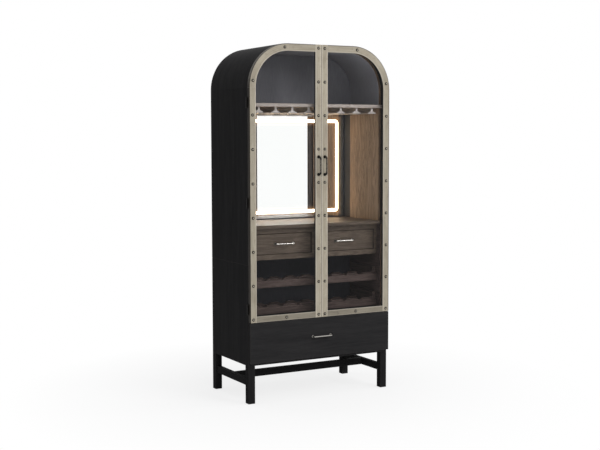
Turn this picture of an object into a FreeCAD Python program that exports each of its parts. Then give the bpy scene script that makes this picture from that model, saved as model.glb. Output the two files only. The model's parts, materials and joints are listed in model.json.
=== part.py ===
import FreeCAD, Part
import math
import os

# Bar armoire: an arched case on a leg stand, with two riveted glass doors, a lit bar
# compartment under hanging rails, two inner drawers, two cradle racks and a base drawer.
# Millimetres. X runs to the right, Y to the back and Z up. The origin is on the floor,
# under the middle of the whole object, handles included.

# Case
case_width = 1016.0
overall_depth = 560.0  # door face to the back of the case
overall_height = 2232.0
arch_radius = 275.0
shell_thickness = 20.0
back_thickness = 12.0
seam_rise = 629.0  # joint between lower and upper side panels, above the case's underside
seam_groove = 2.0
bottom_thickness = 18.0

# Stand
stand_height = 240.0
leg_side = 45.0
glide_thickness = 2.0
glide_radius = 14.0
stretcher_height = 45.0
stretcher_thickness = 28.0
stretcher_lift = 112.0

# Doors
door_thickness = 24.0
front_gap = 3.0  # between neighbouring fronts
door_inset = 1.0  # door outline inside the case outline
facing_thickness = 3.0
facing_width = 45.0
meeting_width = 42.0
bottom_rail_width = 38.0
facing_lip = 8.0  # facing past the core, which the glass lies against
glass_thickness = 5.0
glass_clearance = 0.5
stop_recess = 4.0  # glass stops short of the door's back
rivet_radius = 7.0
rivet_rise = 4.0
rivet_count = 9  # along a meeting stile
arch_rivet_offset = 28.0

# Hinges
hinge_knuckle = 20.0
hinge_knuckle_gap = 0.3
hinge_barrel_radius = 4.5
hinge_barrel_clearance = 0.5
hinge_pin_radius = 2.5
hinge_running_clearance = 0.05
hinge_head_radius = 3.8
hinge_head_height = 2.5
hinge_leaf_thickness = 1.2
hinge_leaf_gap = 0.6  # between the closed leaves
hinge_leaf_width = 18.0
lower_hinge_rise = 50.0  # from the door's lower edge to the first hinge's lower end
middle_hinge_rise = 658.0
upper_hinge_drop = 122.0  # from the arch's springing line to the third hinge's lower end

# Handles and pulls
handle_span = 122.0
handle_reach = 30.0
handle_rise = 962.0  # handle's middle above the door's lower edge
handle_rod_radius = 5.5
handle_bend = 14.0
pull_span = 138.0
pull_reach = 25.0
pull_rod_radius = 5.0
pull_bend = 9.0
foot_radius = 9.0
foot_thickness = 3.0

# Base drawer
base_front_lift = 18.0  # front's lower edge above the case's underside
base_front_height = 253.0
base_pull_rise = 136.0
base_box_drop = 51.0  # box's upper edge below the front's
base_box_back_gap = 48.0  # box to the back panel
base_wall = 15.0
runner_width = 30.0
runner_height = 18.0
runner_inset = 5.0

# Fitted interior
lining_thickness = 18.0
board_setback = 19.0  # shelf, counter and cheeks behind the case's front edge
lining_setback = 45.0
fitted_setback = 63.0  # drawer fronts and rack rails behind the case's front edge
service_depth = 109.0  # inner back to the case's back panel
niche_gap = 25.0  # back of the mirror's niche to the case's back panel
inner_back_thickness = 12.0
top_lining_gap = 0.3  # bent lining inside the shoulders
deck_rise = 3.0  # deck's underside above the door's lower edge
deck_thickness = 18.0
counter_thickness = 20.0
shelf_thickness = 21.0
shelf_drop = 93.0  # shelf's upper face below the arch's springing line

# Cradle racks
cell_count = 8  # hanging rails across the interior; the cradles share their spacing
rack_lift = 10.0
rack_pitch = 167.0
rack_rail_height = 44.0
rack_rail_thickness = 18.0
rack_end_height = 88.0
rack_end_thickness = 18.0
rack_end_back_gap = 47.0  # rack ends to the inner back
cradle_thickness = 18.0
neck_cradle_height = 52.0
neck_notch_radius = 20.0
body_cradle_height = 38.0
body_cradle_inset = 54.0  # from the back of the rack ends
body_notch_radius = 45.0
notch_depth = 14.0
rack_room = 132.0  # upper rack rail to the inner drawers

# Inner drawers
inner_front_height = 196.0
inner_front_thickness = 20.0
inner_frame_rail = 31.0
inner_frame_stile = 20.0
inner_panel_sink = 6.0
inner_front_top_gap = 4.0
inner_pull_shift = 15.0  # pull's middle towards the cabinet's middle
inner_box_drop = 28.0  # box's upper edge below the front's
inner_box_back_gap = 17.0  # box to the inner back
inner_wall = 12.0
divider_thickness = 18.0
drawer_floor_lift = 10.0
drawer_floor_thickness = 6.0
side_clearance = 1.5
running_clearance = 0.3
overlay_clearance = 1.0

# Hanging rails
stem_rail_gap = 2.0  # behind the door catches
stem_rail_back_gap = 27.0  # rails to the inner back
stem_web_width = 14.0
stem_web_height = 20.0
stem_flange_width = 62.0
stem_flange_edge = 4.5
stem_flange_slope = 12.5

# Lit mirror and its supply
mirror_side_margin = 6.0
mirror_top_margin = 6.0
mirror_foot_margin = 6.0
mirror_thickness = 6.0
band_side_margin = 41.5
band_top_margin = 61.5
band_foot_margin = 30.5
band_width = 24.0
band_inner_corner = 10.0
band_thickness = 1.5
driver_length = 160.0
driver_height = 46.0
driver_depth = 32.0
driver_rise = 300.0
grommet_rise = 200.0
grommet_bore_radius = 10.0
grommet_wall = 4.0
grommet_flange_lip = 5.0
grommet_flange_thickness = 2.5
grommet_clearance = 0.2

# Door catches
catch_width = 20.0
catch_height = 16.0
catch_seat = 12.0  # under the shelf
catch_offset = 5.0
catch_gap = 0.4

# Planes across the depth
front = (handle_reach - overall_depth) / 2
door_back = front + door_thickness
door_gap = 2 * hinge_leaf_thickness + hinge_leaf_gap
case_front = door_back + door_gap
case_back = front + overall_depth
back_front = case_back - back_thickness
board_front = case_front + board_setback
lining_front = case_front + lining_setback
fitted_front = case_front + fitted_setback
wall_back = back_front - service_depth
wall_front = wall_back - inner_back_thickness
niche_back = back_front - niche_gap
niche_front = niche_back - inner_back_thickness
catch_back = board_front + catch_seat
rack_end_back = wall_front - rack_end_back_gap

# Lines across the width
half_width = case_width / 2
inner_half = half_width - shell_thickness
lining_half = inner_half - lining_thickness
arch_x = half_width - arch_radius
cell = 2 * lining_half / cell_count
door_meet = front_gap / 2
door_outer = half_width - door_inset
door_middle = door_meet + meeting_width / 2

# Levels
bottom_top = stand_height + bottom_thickness
seam = stand_height + seam_rise
arch_z = overall_height - arch_radius
base_low = stand_height + base_front_lift
base_high = base_low + base_front_height
door_low = base_high + front_gap
door_high = overall_height - door_inset
deck_low = door_low + deck_rise
deck_high = deck_low + deck_thickness
rack_levels = (deck_high + rack_lift, deck_high + rack_lift + rack_pitch)
inner_low = rack_levels[1] + rack_rail_height + rack_room
inner_high = inner_low + inner_front_height
inner_deck_high = inner_low + deck_thickness
counter_low = inner_high + inner_front_top_gap
counter_high = counter_low + counter_thickness
shelf_high = arch_z - shelf_drop
shelf_low = shelf_high - shelf_thickness
rivet_low = door_low + bottom_rail_width / 2
rivet_high = door_high - facing_width / 2
rivet_pitch = (rivet_high - rivet_low) / (rivet_count - 1)

left, right = -1, 1
Vector = FreeCAD.Vector
outward = Vector(0, -1, 0)


# Simple shapes

def block(x, y, z):
    low = Vector(min(x), min(y), min(z))
    return Part.makeBox(max(x) - low.x, max(y) - low.y, max(z) - low.z, low)


def beside(side, near, far):
    return side * near, side * far


def point(side, x, y, z):
    return Vector(side * x, y, z)


def line(a, b):
    return Part.LineSegment(a, b).toShape()


def arc(side, centre_x, centre_z, radius, start, end, y):
    def at(angle):
        turn = math.radians(angle)
        return point(side, centre_x + radius * math.cos(turn), y, centre_z + radius * math.sin(turn))
    return Part.Arc(at(start), at((start + end) / 2), at(end)).toShape()


def slab(edges, y):
    face = Part.Face(Part.Wire(edges))
    return face.extrude(Vector(0, y[1] - y[0], 0))


def arch_band(side, centre_x, centre_z, radius, width, y):
    inner = radius - width
    return slab([
        arc(side, centre_x, centre_z, radius, 0, 90, y[0]),
        line(point(side, centre_x, y[0], centre_z + radius), point(side, centre_x, y[0], centre_z + inner)),
        arc(side, centre_x, centre_z, inner, 90, 0, y[0]),
        line(point(side, centre_x + inner, y[0], centre_z), point(side, centre_x + radius, y[0], centre_z)),
    ], y)


def arched_plate(half, low, high, radius, y):
    x = half - radius
    z = high - radius
    return slab([
        line(Vector(-half, y[0], low), Vector(half, y[0], low)),
        line(Vector(half, y[0], low), Vector(half, y[0], z)),
        arc(right, x, z, radius, 0, 90, y[0]),
        line(Vector(x, y[0], high), Vector(-x, y[0], high)),
        arc(left, x, z, radius, 90, 0, y[0]),
        line(Vector(-half, y[0], z), Vector(-half, y[0], low)),
    ], y)


def corner_plate(side, meet, outer, low, high, radius, y):
    x = outer - radius
    z = high - radius
    return slab([
        line(point(side, meet, y[0], low), point(side, outer, y[0], low)),
        line(point(side, outer, y[0], low), point(side, outer, y[0], z)),
        arc(side, x, z, radius, 0, 90, y[0]),
        line(point(side, x, y[0], high), point(side, meet, y[0], high)),
        line(point(side, meet, y[0], high), point(side, meet, y[0], low)),
    ], y)


def rounded_plate(half, low, high, radius, y):
    x = half - radius
    top = high - radius
    bottom = low + radius
    return slab([
        line(Vector(-x, y[0], low), Vector(x, y[0], low)),
        arc(right, x, bottom, radius, -90, 0, y[0]),
        line(Vector(half, y[0], bottom), Vector(half, y[0], top)),
        arc(right, x, top, radius, 0, 90, y[0]),
        line(Vector(x, y[0], high), Vector(-x, y[0], high)),
        arc(left, x, top, radius, 90, 0, y[0]),
        line(Vector(-half, y[0], top), Vector(-half, y[0], bottom)),
        arc(left, x, bottom, radius, 0, -90, y[0]),
    ], y)


# Case shell

def side_panel(side, low, high, groove_level):
    panel = block(beside(side, inner_half, half_width), (case_front, case_back), (low, high))
    groove = block(
        beside(side, half_width - seam_groove, half_width + seam_groove),
        (case_front, case_back),
        (groove_level - seam_groove / 2, groove_level + seam_groove / 2),
    )
    return panel.cut(groove)


def shoulder(side):
    return arch_band(side, arch_x, arch_z, arch_radius, shell_thickness, (case_front, case_back))


def top_panel():
    z = (overall_height - shell_thickness, overall_height)
    return block((-arch_x, arch_x), (case_front, case_back), z)


def bottom_board():
    return block((-inner_half, inner_half), (case_front, back_front), (stand_height, bottom_top))


grommet_tube_radius = grommet_bore_radius + grommet_wall
grommet_flange_radius = grommet_tube_radius + grommet_flange_lip


def grommet_place(y):
    return Vector(0, y, deck_high + grommet_rise)


def back_panel():
    panel = arched_plate(
        inner_half,
        stand_height,
        overall_height - shell_thickness,
        arch_radius - shell_thickness,
        (back_front, case_back),
    )
    hole = Part.makeCylinder(
        grommet_tube_radius + grommet_clearance, back_thickness, grommet_place(back_front), Vector(0, 1, 0)
    )
    return panel.cut(hole)


def cable_grommet():
    along = Vector(0, 1, 0)
    start = grommet_place(back_front - grommet_flange_thickness)
    length = grommet_flange_thickness + back_thickness
    flange = Part.makeCylinder(grommet_flange_radius, grommet_flange_thickness, start, along)
    tube = Part.makeCylinder(grommet_tube_radius, length, start, along)
    bore = Part.makeCylinder(grommet_bore_radius, length, start, along)
    return flange.fuse(tube).cut(bore)


# Stand

def legs(y_low):
    return [
        block(
            beside(side, half_width - leg_side, half_width),
            (y_low, y_low + leg_side),
            (glide_thickness, stand_height),
        )
        for side in (left, right)
    ]


def glides():
    pads = []
    for side in (left, right):
        for y_low in (case_front, case_back - leg_side):
            middle = Vector(side * (half_width - leg_side / 2), y_low + leg_side / 2, 0)
            pads.append(Part.makeCylinder(glide_radius, glide_thickness, middle))
    return pads


def side_stretcher(side):
    middle = half_width - leg_side / 2
    return block(
        beside(side, middle - stretcher_thickness / 2, middle + stretcher_thickness / 2),
        (case_front + leg_side, case_back - leg_side),
        (stretcher_lift, stretcher_lift + stretcher_height),
    )


def middle_stretcher():
    reach = half_width - leg_side / 2 - stretcher_thickness / 2
    middle = (case_front + case_back) / 2
    return block(
        (-reach, reach),
        (middle - stretcher_thickness / 2, middle + stretcher_thickness / 2),
        (stretcher_lift, stretcher_lift + stretcher_height),
    )


# Fitted interior

def deck():
    return block((-inner_half, inner_half), (case_front, back_front), (deck_low, deck_high))


def wall_pair(y, low, high):
    return [
        block(beside(side, lining_half, inner_half), y, (low, high))
        for side in (left, right)
    ]


def full_board(low, high):
    return block((-inner_half, inner_half), (board_front, niche_back), (low, high))


def rack_back():
    return block((-lining_half, lining_half), (wall_front, wall_back), (deck_high, counter_low))


def bar_back():
    z = (counter_high, shelf_low)
    board = block((-lining_half, lining_half), (niche_front, niche_back), z)
    returns = wall_pair((wall_front, niche_back), *z)
    return [board] + returns


def top_back():
    return arched_plate(
        inner_half,
        shelf_high,
        overall_height - shell_thickness,
        arch_radius - shell_thickness,
        (wall_front, wall_back),
    )


def top_lining():
    y = (lining_front, wall_front)
    outer_inset = shell_thickness + top_lining_gap
    inner_inset = shell_thickness + lining_thickness
    outer, inner = [
        arched_plate(half_width - inset, shelf_high, overall_height - inset, arch_radius - inset, y)
        for inset in (outer_inset, inner_inset)
    ]
    return outer.cut(inner)


def inner_deck():
    y_low = fitted_front + inner_front_thickness + overlay_clearance
    return block((-lining_half, lining_half), (y_low, wall_front), (inner_low, inner_deck_high))


def divider():
    y_low = fitted_front + inner_front_thickness + overlay_clearance
    half = divider_thickness / 2
    return block((-half, half), (y_low, wall_front), (inner_deck_high, counter_low))


stem_y = (catch_back + stem_rail_gap, wall_front - stem_rail_back_gap)
web_low = shelf_low - stem_web_height
flange_low = web_low - stem_flange_slope - stem_flange_edge


def stem_rails():
    pieces = []
    y = stem_y
    web = stem_web_width / 2
    flange = stem_flange_width / 2
    for number in range(cell_count):
        x = cell * (number + 0.5) - lining_half
        pieces.append(block((x - web, x + web), y, (web_low, shelf_low)))
        corners = [
            Vector(x - flange, y[0], flange_low),
            Vector(x + flange, y[0], flange_low),
            Vector(x + flange, y[0], flange_low + stem_flange_edge),
            Vector(x + web, y[0], web_low),
            Vector(x - web, y[0], web_low),
            Vector(x - flange, y[0], flange_low + stem_flange_edge),
        ]
        edges = [line(corners[i - 1], corners[i]) for i in range(len(corners))]
        pieces.append(slab(edges, y))
    return pieces


def rack_rails():
    return [
        block(
            (-lining_half, lining_half),
            (fitted_front, fitted_front + rack_rail_thickness),
            (level, level + rack_rail_height),
        )
        for level in rack_levels
    ]


def rack_ends():
    y_low = fitted_front + rack_rail_thickness
    return [
        block(
            beside(side, lining_half - rack_end_thickness, lining_half),
            (y_low, rack_end_back),
            (level, level + rack_end_height),
        )
        for level in rack_levels
        for side in (left, right)
    ]


def cradle(level, y_low, height, notch_radius):
    half = lining_half - rack_end_thickness
    bar = block((-half, half), (y_low, y_low + cradle_thickness), (level, level + height))
    places = cell_count - 1
    for number in range(places):
        x = (number - (places - 1) / 2) * cell
        z = level + height - notch_depth + notch_radius
        notch = Part.makeCylinder(notch_radius, cradle_thickness, Vector(x, y_low, z), Vector(0, 1, 0))
        bar = bar.cut(notch)
    return bar


def rack_cradles():
    neck_y = fitted_front + rack_rail_thickness
    body_y = rack_end_back - body_cradle_inset - cradle_thickness
    bars = []
    for level in rack_levels:
        bars.append(cradle(level, neck_y, neck_cradle_height, neck_notch_radius))
        bars.append(cradle(level, body_y, body_cradle_height, body_notch_radius))
    return bars


# Lit mirror

mirror_half = lining_half - mirror_side_margin
mirror_low = counter_high + mirror_foot_margin
mirror_high = shelf_low - mirror_top_margin
mirror_front = niche_front - mirror_thickness


def mirror():
    return block((-mirror_half, mirror_half), (mirror_front, niche_front), (mirror_low, mirror_high))


def light_band():
    y = (mirror_front - band_thickness, mirror_front)
    half = mirror_half - band_side_margin
    low = mirror_low + band_foot_margin
    high = mirror_high - band_top_margin
    outer = rounded_plate(half, low, high, band_inner_corner + band_width, y)
    inner = rounded_plate(
        half - band_width, low + band_width, high - band_width, band_inner_corner, y
    )
    return outer.cut(inner)


def light_driver():
    return block(
        (-driver_length / 2, driver_length / 2),
        (wall_back, wall_back + driver_depth),
        (deck_high + driver_rise, deck_high + driver_rise + driver_height),
    )


# Doors

def ring_members(side, meet, outer, low, high, radius, widths, y):
    band, meet_band, bottom_band = widths
    x = outer - radius
    z = high - radius
    return [
        block(beside(side, outer - band, outer), y, (low, z)),
        arch_band(side, x, z, radius, band, y),
        block(beside(side, meet + meet_band, x), y, (high - band, high)),
        block(beside(side, meet, meet + meet_band), y, (low, high)),
        block(beside(side, meet + meet_band, outer - band), y, (low, low + bottom_band)),
    ]


door_radius = arch_radius - door_inset
core_front = front + facing_thickness
face_widths = (facing_width, meeting_width, bottom_rail_width)
core_widths = tuple(width - facing_lip for width in face_widths)


def door_facing(side):
    return ring_members(
        side, door_meet, door_outer, door_low, door_high, door_radius, face_widths, (front, core_front)
    )


def door_core(side):
    return ring_members(
        side, door_meet, door_outer, door_low, door_high, door_radius, core_widths, (core_front, door_back)
    )


def door_opening(margin):
    band, meet_band, bottom_band = core_widths
    return (
        door_meet + meet_band + margin,
        door_outer - band - margin,
        door_low + bottom_band + margin,
        door_high - band - margin,
        door_radius - band - margin,
    )


def door_glass(side):
    y = (core_front, core_front + glass_thickness)
    return corner_plate(side, *door_opening(glass_clearance), y)


def glass_stops(side):
    y_low = core_front + glass_thickness
    widths = (facing_lip, facing_lip, facing_lip)
    return ring_members(side, *door_opening(0.0), widths, (y_low, door_back - stop_recess))


def rivet(x, z):
    ball = (rivet_radius ** 2 + rivet_rise ** 2) / (2 * rivet_rise)
    centre = Vector(x, front - rivet_rise + ball, z)
    disc = Part.makeCylinder(rivet_radius + rivet_rise, rivet_rise, Vector(x, front, z), outward)
    return Part.makeSphere(ball, centre).common(disc)


def band_middle(z):
    middle = door_radius - facing_width / 2
    if z <= arch_z:
        return arch_x + middle
    return arch_x + math.sqrt(middle ** 2 - (z - arch_z) ** 2)


def door_rivets(side):
    levels = [rivet_low + rivet_pitch * number for number in range(rivet_count)]
    places = [(door_middle, z) for z in levels]
    places += [(band_middle(z), z) for z in levels[:-1]]
    middle = door_radius - facing_width / 2
    arch_rise = math.sqrt(middle ** 2 - arch_rivet_offset ** 2)
    places.append((arch_x + arch_rivet_offset, arch_z + arch_rise))
    places.append(((door_middle + band_middle(rivet_low)) / 2, rivet_low))
    return [rivet(side * x, z) for x, z in places]


# Hinges

hinge_height = 3 * hinge_knuckle + 2 * hinge_knuckle_gap
pin_x = half_width + hinge_barrel_radius + hinge_barrel_clearance
pin_y = door_back + door_gap / 2
hinge_first = door_low + lower_hinge_rise
hinge_levels = (hinge_first, hinge_first + middle_hinge_rise, arch_z - upper_hinge_drop)
knuckle_step = hinge_knuckle + hinge_knuckle_gap


def barrel(side, low, radius, height):
    return Part.makeCylinder(radius, height, Vector(side * pin_x, pin_y, low))


def leaf(side, low, edge, y, knuckles, bore):
    plate = block(beside(side, half_width - hinge_leaf_width, edge), y, (low, low + hinge_height))
    shape = plate
    for number in knuckles:
        level = low + number * knuckle_step
        web = block(beside(side, edge, pin_x), y, (level, level + hinge_knuckle))
        shape = shape.fuse([web, barrel(side, level, hinge_barrel_radius, hinge_knuckle)])
    return shape.cut(barrel(side, low, bore, hinge_height))


def case_leaves():
    y = (case_front - hinge_leaf_thickness, case_front)
    return [
        leaf(side, low, half_width, y, (0, 2), hinge_pin_radius)
        for side in (left, right)
        for low in hinge_levels
    ]


def door_leaves(side):
    y = (door_back, door_back + hinge_leaf_thickness)
    bore = hinge_pin_radius + hinge_running_clearance
    return [leaf(side, low, half_width - hinge_barrel_clearance, y, (1,), bore) for low in hinge_levels]


def hinge_pins():
    pins = []
    for side in (left, right):
        for low in hinge_levels:
            rod = barrel(side, low, hinge_pin_radius, hinge_height)
            lower = barrel(side, low - hinge_head_height, hinge_head_radius, hinge_head_height)
            upper = barrel(side, low + hinge_height, hinge_head_radius, hinge_head_height)
            pins.append(rod.fuse([lower, upper]))
    return pins


def catches():
    return [
        block(
            beside(side, catch_offset, catch_offset + catch_width),
            (door_back + catch_gap, catch_back),
            (shelf_low - catch_height, shelf_low),
        )
        for side in (left, right)
    ]


# Handles and pulls

def bow_pull(middle, along, span, reach, rod_radius, bend):
    half = span / 2 - rod_radius
    out = reach - rod_radius
    ends = [middle - along * half, middle + along * half]
    inward = [along, along * -1]
    edges = []
    for end, turn in zip(ends, inward):
        rise = end + outward * (out - bend)
        centre = rise + turn * bend
        corner = centre + (outward - turn) * (bend / math.sqrt(2))
        top = centre + outward * bend
        edges.append((line(end, rise), Part.Arc(rise, corner, top).toShape(), top))
    bar = line(edges[0][2], edges[1][2])
    path = Part.Wire([edges[0][0], edges[0][1], bar, edges[1][1], edges[1][0]])
    section = Part.Wire(Part.makeCircle(rod_radius, ends[0], outward))
    rod = path.makePipeShell([section], True, False)
    feet = [Part.makeCylinder(foot_radius, foot_thickness, end, outward) for end in ends]
    return rod.fuse(feet)


def door_handle(side):
    middle = Vector(side * door_middle, front, door_low + handle_rise)
    return bow_pull(middle, Vector(0, 0, 1), handle_span, handle_reach, handle_rod_radius, handle_bend)


def drawer_pull(x, y, z):
    return bow_pull(Vector(x, y, z), Vector(1, 0, 0), pull_span, pull_reach, pull_rod_radius, pull_bend)


# Drawers

def drawer_box(x, y, z, wall):
    floor = (z[0] + drawer_floor_lift, z[0] + drawer_floor_lift + drawer_floor_thickness)
    inside = (x[0] + wall, x[1] - wall)
    return [
        block((x[0], inside[0]), y, z),
        block((inside[1], x[1]), y, z),
        block(inside, (y[1] - wall, y[1]), z),
        block(inside, (y[0], y[1] - wall), floor),
    ]


def base_front():
    return block((-door_outer, door_outer), (front, door_back), (base_low, base_high))


base_box_low = bottom_top + runner_height + running_clearance
base_box_high = base_high - base_box_drop
base_box_back = back_front - base_box_back_gap
base_box_half = inner_half - side_clearance


def base_box():
    return drawer_box(
        (-base_box_half, base_box_half),
        (door_back, base_box_back),
        (base_box_low, base_box_high),
        base_wall,
    )


def base_runners():
    return [
        block(
            beside(side, inner_half - runner_width, inner_half),
            (case_front + runner_inset, back_front),
            (bottom_top, bottom_top + runner_height),
        )
        for side in (left, right)
    ]


inner_near = front_gap / 2
inner_far = lining_half - front_gap / 2
inner_pull_x = (inner_near + inner_far) / 2 - inner_pull_shift
inner_board_back = fitted_front + inner_front_thickness
inner_box_near = divider_thickness / 2 + side_clearance
inner_box_far = lining_half - side_clearance
inner_box_low = inner_deck_high + running_clearance
inner_box_high = inner_high - inner_box_drop
inner_box_back = wall_front - inner_box_back_gap


def inner_front(side):
    board = block(
        beside(side, inner_near, inner_far),
        (fitted_front, inner_board_back),
        (inner_low, inner_high),
    )
    sunk = block(
        beside(side, inner_near + inner_frame_stile, inner_far - inner_frame_stile),
        (fitted_front, fitted_front + inner_panel_sink),
        (inner_low + inner_frame_rail, inner_high - inner_frame_rail),
    )
    return board.cut(sunk)


def inner_box(side):
    x = sorted(beside(side, inner_box_near, inner_box_far))
    return drawer_box(
        x,
        (inner_board_back, inner_box_back),
        (inner_box_low, inner_box_high),
        inner_wall,
    )


def inner_pull(side):
    return drawer_pull(side * inner_pull_x, fitted_front + inner_panel_sink, (inner_low + inner_high) / 2)


nodes = {
    "side_upper_left": [side_panel(left, seam, arch_z, seam)],
    "side_upper_right": [side_panel(right, seam, arch_z, seam)],
    "side_lower_left": [side_panel(left, stand_height, seam, seam)],
    "side_lower_right": [side_panel(right, stand_height, seam, seam)],
    "shoulder_left": [shoulder(left)],
    "shoulder_right": [shoulder(right)],
    "top_panel": [top_panel()],
    "bottom_board": [bottom_board()],
    "back_panel": [back_panel()],
    "front_legs": legs(case_front),
    "back_legs": legs(case_back - leg_side),
    "glides": glides(),
    "stretcher_left": [side_stretcher(left)],
    "stretcher_right": [side_stretcher(right)],
    "stretcher_middle": [middle_stretcher()],
    "deck": [deck()],
    "cheeks": wall_pair((board_front, wall_back), deck_high, counter_low),
    "rack_back": [rack_back()],
    "rack_rails": rack_rails(),
    "rack_ends": rack_ends(),
    "rack_cradles": rack_cradles(),
    "drawer_deck": [inner_deck()],
    "drawer_divider": [divider()],
    "counter": [full_board(counter_low, counter_high)],
    "linings": wall_pair((lining_front, wall_front), counter_high, shelf_low),
    "bar_back": bar_back(),
    "mirror": [mirror()],
    "light_band": [light_band()],
    "light_driver": [light_driver()],
    "cable_grommet": [cable_grommet()],
    "shelf": [full_board(shelf_low, shelf_high)],
    "stem_rails": stem_rails(),
    "top_back": [top_back(), top_lining()],
    "base_runners": base_runners(),
    "door_catches": catches(),
    "hinge_case_leaves": case_leaves(),
    "hinge_pins": hinge_pins(),
    "base_drawer_front": [base_front()],
    "base_drawer_box": base_box(),
    "base_drawer_pull": [drawer_pull(0.0, front, base_low + base_pull_rise)],
}

for side, word in ((left, "left"), (right, "right")):
    nodes["door_core_" + word] = door_core(side)
    nodes["door_facing_" + word] = door_facing(side)
    nodes["door_rivets_" + word] = door_rivets(side)
    nodes["door_glass_" + word] = [door_glass(side)]
    nodes["glass_stops_" + word] = glass_stops(side)
    nodes["door_handle_" + word] = [door_handle(side)]
    nodes["hinge_door_leaves_" + word] = door_leaves(side)
    nodes["inner_drawer_front_" + word] = [inner_front(side)]
    nodes["inner_drawer_box_" + word] = inner_box(side)
    nodes["inner_drawer_pull_" + word] = [inner_pull(side)]

os.makedirs("parts", exist_ok=True)
for name, solids in nodes.items():
    shape = Part.makeCompound(solids) if len(solids) > 1 else solids[0]
    shape.exportStep("parts/" + name + ".step")
    print(name, len(shape.Solids), "solids", round(shape.Volume / 1000), "cm3", shape.isValid())
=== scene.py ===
import bpy
import bmesh
import json
import math
from bmesh.types import BMEdge, BMFace, BMVert
from mathutils import Matrix, Vector


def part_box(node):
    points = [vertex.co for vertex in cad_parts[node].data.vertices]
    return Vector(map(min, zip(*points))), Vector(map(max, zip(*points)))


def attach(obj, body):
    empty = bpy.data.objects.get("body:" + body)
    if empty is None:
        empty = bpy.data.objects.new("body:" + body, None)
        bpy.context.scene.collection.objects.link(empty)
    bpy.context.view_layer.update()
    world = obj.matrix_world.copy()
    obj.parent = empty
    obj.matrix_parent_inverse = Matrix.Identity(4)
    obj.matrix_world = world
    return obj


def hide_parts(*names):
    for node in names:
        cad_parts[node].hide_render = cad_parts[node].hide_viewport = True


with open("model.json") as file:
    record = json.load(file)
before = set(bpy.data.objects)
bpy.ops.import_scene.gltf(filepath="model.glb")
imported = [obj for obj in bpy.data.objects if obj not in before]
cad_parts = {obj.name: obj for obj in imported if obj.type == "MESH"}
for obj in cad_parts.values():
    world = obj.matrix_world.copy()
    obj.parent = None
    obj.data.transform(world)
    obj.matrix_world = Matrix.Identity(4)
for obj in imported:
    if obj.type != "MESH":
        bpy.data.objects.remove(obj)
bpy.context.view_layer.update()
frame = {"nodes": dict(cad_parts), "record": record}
nodes = frame["nodes"]
record = frame["record"]
scene = bpy.context.scene
bodyOf = {n: body for body, group in record["behaviour"]["bodies"].items() for n in group}
sides = {"left": -1, "right": 1}
print("frame loaded:", len(nodes), "nodes")


# node helpers

def plug(tree, socket, value):
    if isinstance(value, bpy.types.NodeSocket):
        tree.links.new(value, socket)
    elif isinstance(value, tuple):
        socket.default_value = (*value, 1)
    else:
        socket.default_value = value


def fill(tree, node, inputs):
    for socket, value in inputs.items():
        plug(tree, node.inputs[socket.replace("_", " ")], value)
    return node


def newNode(tree, kind, **inputs):
    return fill(tree, tree.nodes.new("ShaderNode" + kind), inputs)


def sums(tree, kind, a, b=0.0):
    node = newNode(tree, "Math")
    node.operation = kind
    plug(tree, node.inputs[0], a)
    plug(tree, node.inputs[1], b)
    return node.outputs[0]


def span(tree, value, low, high, start=0.0, end=1.0):
    node = newNode(
        tree, "MapRange", Value=value, From_Min=start, From_Max=end, To_Min=low, To_Max=high,
    )
    return node.outputs["Result"]


def objectCoords(tree):
    return newNode(tree, "TexCoord").outputs["Object"]


def splitCoords(tree):
    return newNode(tree, "SeparateXYZ", Vector=objectCoords(tree)).outputs


def grainCoords(axis):
    # object coordinates, drawn out along one axis
    def coords(tree, stretch):
        scale = [stretch if a == axis else 1 for a in "XYZ"]
        return newNode(tree, "Mapping", Vector=objectCoords(tree), Scale=scale).outputs["Vector"]
    return coords


even = grainCoords("Z")  # for noise that has no stretch


def archCoords(centre, radius):
    # distance from the arch's middle and length round it, the same on both doors
    def coords(tree, stretch):
        x, y, z = splitCoords(tree)
        across = sums(tree, "SUBTRACT", sums(tree, "ABSOLUTE", x), centre[0])
        up = sums(tree, "SUBTRACT", z, centre[1])
        squares = [sums(tree, "MULTIPLY", way, way) for way in (across, up)]
        away = sums(tree, "SQRT", sums(tree, "ADD", *squares))
        turn = sums(tree, "ARCTAN2", up, across)
        length = sums(tree, "MULTIPLY", turn, radius * stretch)
        return newNode(tree, "CombineXYZ", X=away, Y=y, Z=length).outputs[0]
    return coords


def noise(tree, along, scale, stretch=1, detail=4, rough=0.55, twist=0.0):
    node = newNode(
        tree, "TexNoise", Vector=along(tree, stretch), Scale=scale, Detail=detail,
        Roughness=rough, Distortion=twist,
    )
    return node.outputs["Fac"]


def ramp(tree, factor, places, low, high):
    # from low to high, which are two colours or two shares
    node = newNode(tree, "ValToRGB", Fac=factor)
    for mark, place, colour in zip(node.color_ramp.elements, places, (low, high)):
        mark.position = place
        mark.color = (*colour, 1) if isinstance(colour, tuple) else (colour, colour, colour, 1)
    return node.outputs["Color"]


def blend(tree, factor, a, b):
    node = newNode(tree, "Mix")
    node.data_type = "RGBA"
    named = {socket.identifier: socket for socket in node.inputs}
    plug(tree, named["Factor_Float"], factor)
    plug(tree, named["A_Color"], a)
    plug(tree, named["B_Color"], b)
    return [socket for socket in node.outputs if socket.identifier == "Result_Color"][0]


def mixShaders(tree, factor, first, second):
    node = newNode(tree, "MixShader", Fac=factor)
    tree.links.new(first, node.inputs[1])
    tree.links.new(second, node.inputs[2])
    return node.outputs[0]


def drive(tree, shader, colour, rough):
    tree.links.new(colour, shader.inputs["Base Color"])
    tree.links.new(rough, shader.inputs["Roughness"])


def relief(tree, shader, height, strength, distance):
    node = newNode(tree, "Bump", Height=height, Strength=strength, Distance=distance)
    tree.links.new(node.outputs["Normal"], shader.inputs["Normal"])


# rubbing and painted light in one face attribute: painted highlights on edges, rivet crowns and pull
# fronts, painted light on rims that face up
def wearAndSheen(tree):
    node = newNode(tree, "Attribute")
    node.attribute_name = "wearAndSheen"
    return node.outputs["Fac"]


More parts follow.
